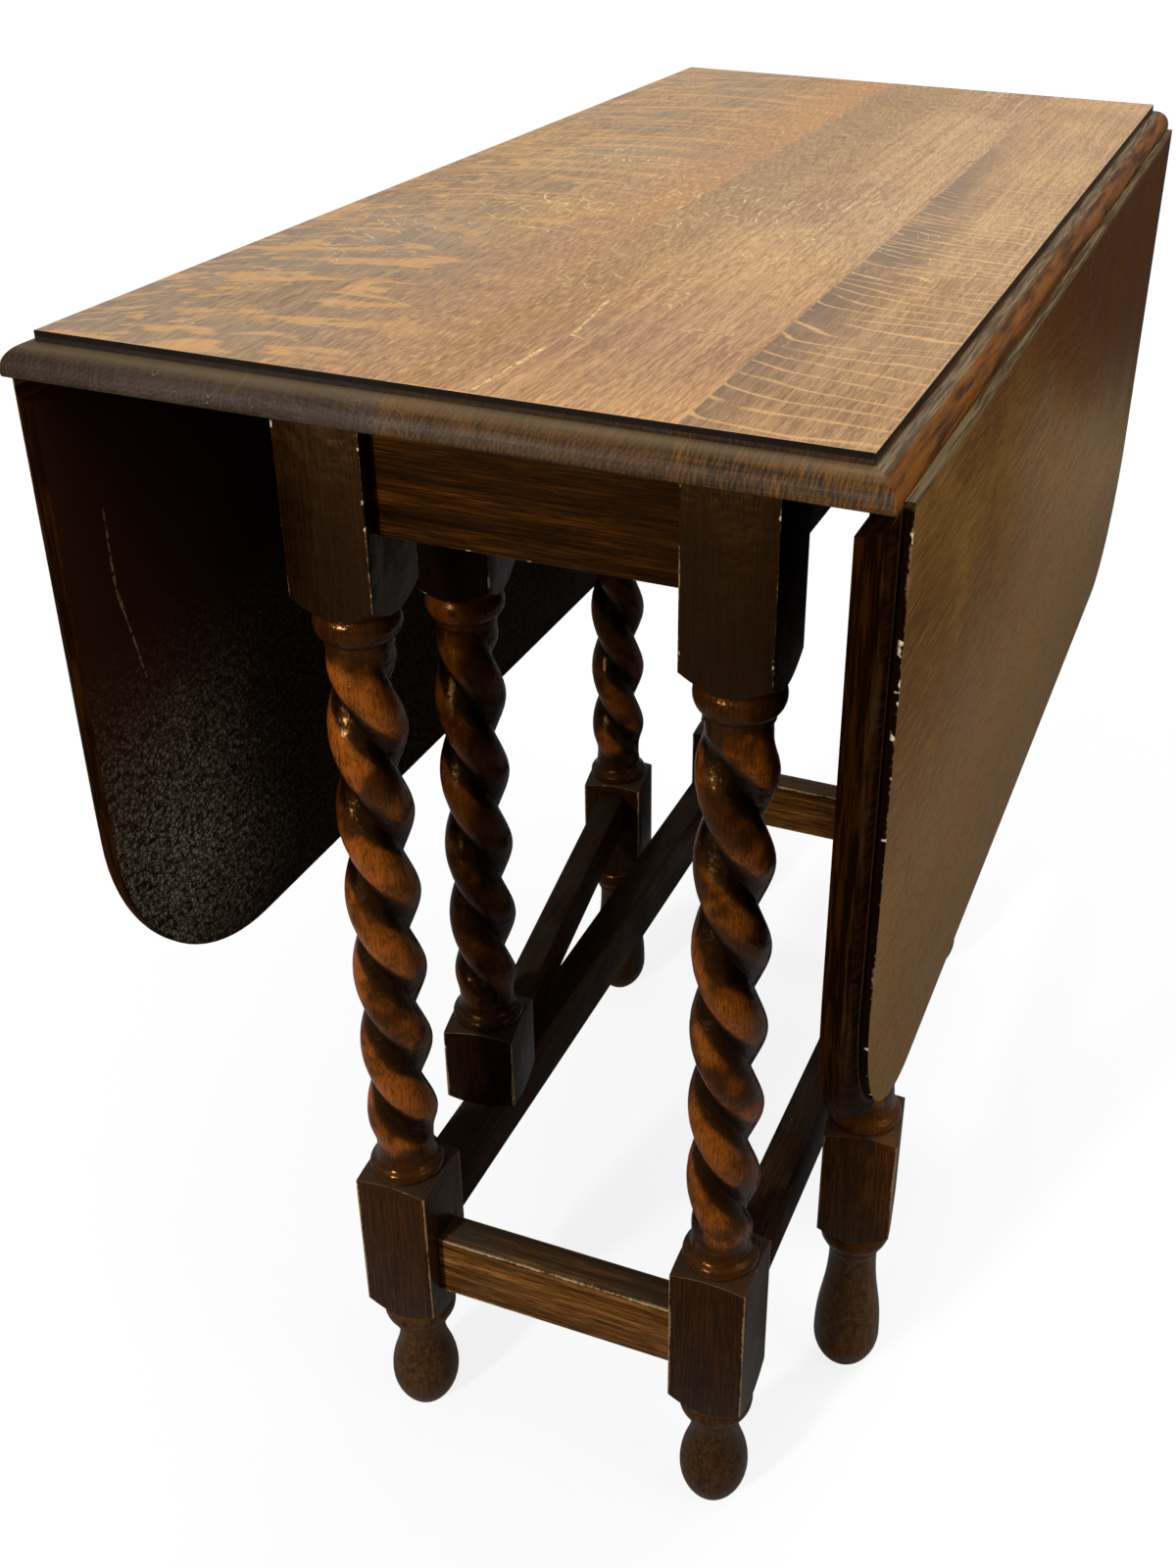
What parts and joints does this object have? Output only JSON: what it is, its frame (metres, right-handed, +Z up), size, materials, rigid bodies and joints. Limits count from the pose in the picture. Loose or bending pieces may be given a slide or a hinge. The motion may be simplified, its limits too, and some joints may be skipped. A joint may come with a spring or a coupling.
{
  "type": "drop-leaf gateleg dining table",
  "caption": "Narrow gateleg table with barley-twist legs, a moulded top, a rounded leaf hinged down each long side and a swinging gate under each leaf.",
  "frame": {"origin": "on the floor under the middle of the top", "axes": "+Z up, +Y along the top's long sides towards the back, +X to the right across the narrow top"},
  "size_m": [0.396, 0.803, 0.74],
  "materials": {
    "top_oak": "worn old polish, warm brown oak with scratches and ray fleck",
    "leaf_oak": "stained and polished oak, duller than the top",
    "turned_oak": "dark polished oak, amber on the ridges and dull in the grooves",
    "rail_oak": "dark stained oak, semi-gloss, paler at worn edges",
    "raw_wood": "plain unpolished softwood, darkened with age",
    "hinge_iron": "dark japanned iron",
    "screw_steel": "aged steel"
  },
  "bodies": {
    "table_frame": {"apron_back": "rail_oak", "apron_front": "rail_oak", "apron_left": "rail_oak", "apron_right": "rail_oak", "glue_blocks_back": "raw_wood", "glue_blocks_front": "raw_wood", "glue_blocks_left": "raw_wood", "glue_blocks_right": "raw_wood", "hinge_left_back_fixed_flap": "hinge_iron", "hinge_left_back_pin": "hinge_iron", "hinge_left_front_fixed_flap": "hinge_iron", "hinge_left_front_pin": "hinge_iron", "hinge_right_back_fixed_flap": "hinge_iron", "hinge_right_back_pin": "hinge_iron", "hinge_right_front_fixed_flap": "hinge_iron", "hinge_right_front_pin": "hinge_iron", "hinge_screws_top": "screw_steel", "leg_back_left": "turned_oak", "leg_back_right": "turned_oak", "leg_front_left": "turned_oak", "leg_front_right": "turned_oak", "stretcher_back": "rail_oak", "stretcher_front": "rail_oak", "stretcher_left": "rail_oak", "stretcher_right": "rail_oak", "top_board_left": "top_oak", "top_board_middle": "top_oak", "top_board_right": "top_oak", "top_screws": "screw_steel"},
    "left_gate": {"gate_left_bottom_rail": "rail_oak", "gate_left_leg": "turned_oak", "gate_left_post": "turned_oak", "gate_left_top_rail": "rail_oak"},
    "right_gate": {"gate_right_bottom_rail": "rail_oak", "gate_right_leg": "turned_oak", "gate_right_post": "turned_oak", "gate_right_top_rail": "rail_oak"},
    "left_leaf": {"hinge_left_back_leaf_flap": "hinge_iron", "hinge_left_front_leaf_flap": "hinge_iron", "hinge_screws_left_leaf": "screw_steel", "leaf_left_inner_board": "leaf_oak", "leaf_left_outer_board": "leaf_oak"},
    "right_leaf": {"hinge_right_back_leaf_flap": "hinge_iron", "hinge_right_front_leaf_flap": "hinge_iron", "hinge_screws_right_leaf": "screw_steel", "leaf_right_inner_board": "leaf_oak", "leaf_right_outer_board": "leaf_oak"}
  },
  "joints": [
    {"name": "left_leaf_hinge", "type": "hinge", "parent": "table_frame", "child": "left_leaf", "pos_m": [-0.182, 0, 0.724], "axis": [0, 1, 0], "range_deg": [0, 90]},
    {"name": "left_gate_pivot", "type": "hinge", "parent": "table_frame", "child": "left_gate", "pos_m": [-0.1015, -0.178, 0.175], "axis": [0, 0, 1], "range_deg": [-2.14, 0.28]},
    {"name": "right_leaf_hinge", "type": "hinge", "parent": "table_frame", "child": "right_leaf", "pos_m": [0.182, 0, 0.724], "axis": [0, -1, 0], "range_deg": [0, 90]},
    {"name": "right_gate_pivot", "type": "hinge", "parent": "table_frame", "child": "right_gate", "pos_m": [0.1015, 0.178, 0.175], "axis": [0, 0, 1], "range_deg": [-2.14, 0.28]}
  ]
}
